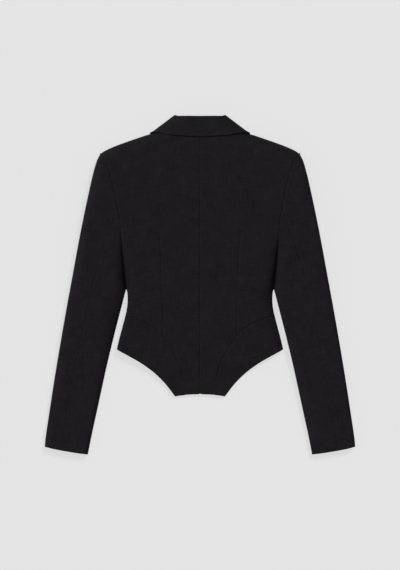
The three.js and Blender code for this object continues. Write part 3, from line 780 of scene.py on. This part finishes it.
def suiting():
    """Black worsted suiting: a fine twill of slightly uneven yarns with a soft dry surface."""
    shade = Shading("suiting")
    grain = shade.nodes.new("ShaderNodeUVMap")
    grain.uv_map = "grain"
    grain = grain.outputs["UV"]
    place = shade.nodes.new("ShaderNodeTexCoord").outputs["Object"]
    twill = shade.bands(grain, "DIAGONAL", 420.0, 0.6)
    weft = shade.bands(grain, "Y", 800.0, 0.4)
    fibre = shade.noise(place, 1400.0)
    warp_yarns = shade.noise(shade.stretched(grain, 420, 34), 1.0)
    weft_yarns = shade.noise(shade.stretched(grain, 40, 380), 1.0)
    cloud = shade.noise(place, 40.0, 3.0)
    tone = shade.weighted([(twill, 0.22), (weft, 0.10), (warp_yarns, 0.95), (weft_yarns, 0.95),
                           (cloud, 0.70)], -0.96)
    shade.link(shade.blend(tone, DARK_YARN, LIGHT_YARN), shade.shader.inputs["Base Color"])
    weave = shade.weighted([(twill, 1.0), (weft, 0.35)])
    normal = shade.bump(weave, 0.35, 0.0002)
    normal = shade.bump(fibre, 0.3, 0.0002, normal)
    shade.link(normal, shade.shader.inputs["Normal"])
    shade.shader.inputs["Roughness"].default_value = 0.88
    shade.shader.inputs["Specular IOR Level"].default_value = 0.08
    return shade.material


def plain_material(name, color, roughness, specular=0.5):
    shade = Shading(name)
    shade.shader.inputs["Base Color"].default_value = (*color, 1)
    shade.shader.inputs["Roughness"].default_value = roughness
    shade.shader.inputs["Specular IOR Level"].default_value = specular
    return shade.material


def horn():
    """Satin black button material with faint streaks and a fine polish grain."""
    shade = Shading("button")
    place = shade.nodes.new("ShaderNodeTexCoord").outputs["Object"]
    streaks = shade.noise(shade.stretched(place, 900, 160), 1.0)
    tone = shade.blend(streaks, (0.0045, 0.0045, 0.005), (0.0095, 0.009, 0.0095))
    shade.link(tone, shade.shader.inputs["Base Color"])
    shade.link(shade.bump(shade.noise(place, 2600.0), 0.15, 0.0001),
               shade.shader.inputs["Normal"])
    shade.shader.inputs["Roughness"].default_value = 0.38
    shade.shader.inputs["Specular IOR Level"].default_value = 0.3
    return shade.material


SUITING = suiting()


def sewn(piece, node):
    """Dresses a cloth piece, attaches it to the root body and hides the part node that it stands
    for.
    """
    piece.data.materials.append(SUITING)
    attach(piece, "root")
    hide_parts(node)
    return piece


def make_garment():
    """Sews and dresses every cloth piece, first the two halves and then the collar."""
    for hand, side_sign in (("right", 1), ("left", -1)):
        front = FRONTS[hand]
        sleeve = sleeve_points(side_sign)
        body_rest = "cloth_front_" + hand
        slant = SLEEVE_GRAIN * side_sign
        pieces = [
            # node, grid, outer side, thickness, grain's angle, cut, what it rests on
            ("front", front_points(front), DOWN, CLOTH, 0, CUTS["front"], "floor"),
            ("lapel", lapel_points(front), DOWN, LAPEL_CLOTH, 0, front["lapel_cut"], "floor"),
            ("back", back_points(side_sign), UP, CLOTH, 0, CUTS["back"], body_rest),
            ("hip_panel", hip_points(side_sign), UP, CLOTH, 0, CUTS["hip_panel"], body_rest),
        ]
        for node in ("upper_sleeve", "under_sleeve"):
            pieces.append((node, sleeve[node], UP, CLOTH, slant, CUTS[node], "floor"))
        for node, points, outward, thick, grain, cut, rests_on in pieces:
            points = points * (side_sign, 1, 1)
            name = node + "_" + hand
            sewn(wall("cloth_" + name, points, outward, thick, grain), name)
    for node, points in (("collar_fall", collar_points()), ("collar_stand", stand_points())):
        piece = wall("cloth_" + node, points, DOWN)
        sewn(piece, node)


def turned(rings, sides, centre):
    """Vertices and faces of a turned solid from (radius, z) rings, its face towards -Z."""
    angles = 2 * math.pi * np.arange(sides) / sides
    vertices = [(centre[0] + radius * math.cos(a), centre[1] + radius * math.sin(a), z)
                for radius, z in rings for a in angles]
    faces = [tuple(range(sides - 1, -1, -1))]
    for j in range(len(rings) - 1):
        for k in range(sides):
            n = (k + 1) % sides
            faces.append((j * sides + k, j * sides + n, (j + 1) * sides + n, (j + 1) * sides + k))
    faces.append(tuple(range((len(rings) - 1) * sides, len(rings) * sides)))
    return vertices, faces


def button_holes():
    """Plan places of the four holes."""
    return [(BUTTON_AT[0] + dx * HOLE_AT, BUTTON_AT[1] + dy * HOLE_AT)
            for dx in (-1, 1) for dy in (-1, 1)]


def make_button():
    """A four-hole button with a raised rim on the right front's outer face, face down."""
    piece = smooth_mesh("button_disc", *turned(BUTTON_RINGS, 64, BUTTON_AT))
    through = [(HOLE_RADIUS, -1.0), (HOLE_RADIUS, 3.4)]
    for centre in button_holes():
        drill = smooth_mesh("drill", *turned(through, 20, centre))
        cut = piece.modifiers.new("hole", "BOOLEAN")
        cut.operation = "DIFFERENCE"
        cut.object = drill
        bpy.context.view_layer.update()
        bored = piece.evaluated_get(bpy.context.evaluated_depsgraph_get())
        mesh = bpy.data.meshes.new_from_object(bored)
        piece.modifiers.clear()
        piece.data = mesh
        bpy.data.objects.remove(drill)
    piece.data.materials.clear()
    piece.data.materials.append(horn())
    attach(piece, "root")
    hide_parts("button")


def make_stitches():
    """Two bars of thread across the button, each from hole to hole."""
    vertices, faces = [], []
    sides, steps = 10, 16
    for side_sign in (-1, 1):
        start = len(vertices)
        for t in np.linspace(0, 1, steps + 1):
            y = BUTTON_AT[1] + HOLE_AT * (2 * t - 1)
            z = THREAD_TOP + (THREAD_FOOT - THREAD_TOP) * (2 * t - 1) ** 4
            for k in range(sides):
                a = 2 * math.pi * k / sides
                vertices.append((BUTTON_AT[0] + side_sign * HOLE_AT + THREAD_RADIUS * math.cos(a),
                                 y, z + THREAD_RADIUS * math.sin(a)))
        for j in range(steps):
            for k in range(sides):
                n = (k + 1) % sides
                a, b = start + j * sides, start + (j + 1) * sides
                faces.append((a + k, a + n, b + n, b + k))
        faces.append(tuple(start + k for k in range(sides - 1, -1, -1)))
        faces.append(tuple(start + steps * sides + k for k in range(sides)))
    piece = smooth_mesh("button_thread", vertices, faces)
    piece.data.materials.append(plain_material("thread", (0.012, 0.011, 0.013), 0.8, 0.2))
    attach(piece, "root")


FLOOR_SIZE, FLOOR_DROP = 8.0, 0.0003  # both in metres


def make_stage():
    """A plain pale floor just below the garment."""
    bpy.ops.mesh.primitive_plane_add(size=FLOOR_SIZE, location=(0, 0, -FLOOR_DROP))
    floor = bpy.context.object
    floor.name = "floor"
    floor.data.materials.append(plain_material("floor", (0.80, 0.80, 0.80), 0.9, 0.1))


LIGHTS = [
    # name, what it lights, energy, softness, lean towards +X, lean towards the collar (degrees)
    ("key", "garment", 2.6, 34, -38, 20),
    ("fill", "garment", 0.75, 90, 10, 0),
    ("under_fill", "garment", 1.2, 90, 180, 0),
    ("floor_wash", "floor", 2.5, 6, 0, 0),
    ("floor_drop", "floor", 0.42, 16, 38, 40),
]
AMBIENT = 0.10
HALF_PIXEL = 0.00105  # half of a pixel of the photo, in metres


def make_light():
    """Soft studio light: a key from the left on the garment, and an even wash on the floor."""
    world = bpy.data.worlds.new("studio")
    bpy.context.scene.world = world
    world.use_nodes = True
    background = world.node_tree.nodes["Background"]
    background.inputs["Color"].default_value = (1, 1, 1, 1)
    background.inputs["Strength"].default_value = AMBIENT
    lit = {"garment": bpy.data.collections.new("lit_garment"),
           "floor": bpy.data.collections.new("lit_floor")}
    for piece in bpy.context.scene.objects:
        if piece.type == "MESH":
            lit["floor" if piece.name == "floor" else "garment"].objects.link(piece)
    for name, target, energy, softness, lean_x, lean_y in LIGHTS:
        data = bpy.data.lights.new(name, "SUN")
        data.energy = energy
        data.angle = math.radians(softness)
        sun = bpy.data.objects.new(name, data)
        sun.rotation_euler = (math.radians(-lean_y), math.radians(lean_x), 0)
        sun.light_linking.receiver_collection = lit[target]
        bpy.context.scene.collection.objects.link(sun)


def make_camera():
    """A long lens straight above. Its distance and the height that it covers are in metres."""
    distance, covered = 12.0, 1.197
    data = bpy.data.cameras.new("camera")
    data.sensor_width = 36.0
    data.lens = distance * data.sensor_width / covered
    data.clip_end = 50
    camera = bpy.data.objects.new("camera", data)
    camera.location = (0, -HALF_PIXEL, distance)
    bpy.context.scene.collection.objects.link(camera)
    bpy.context.scene.camera = camera
    bpy.context.scene.view_settings.view_transform = "Standard"


make_camera()
make_stage()
make_garment()
make_button()
make_stitches()
make_light()
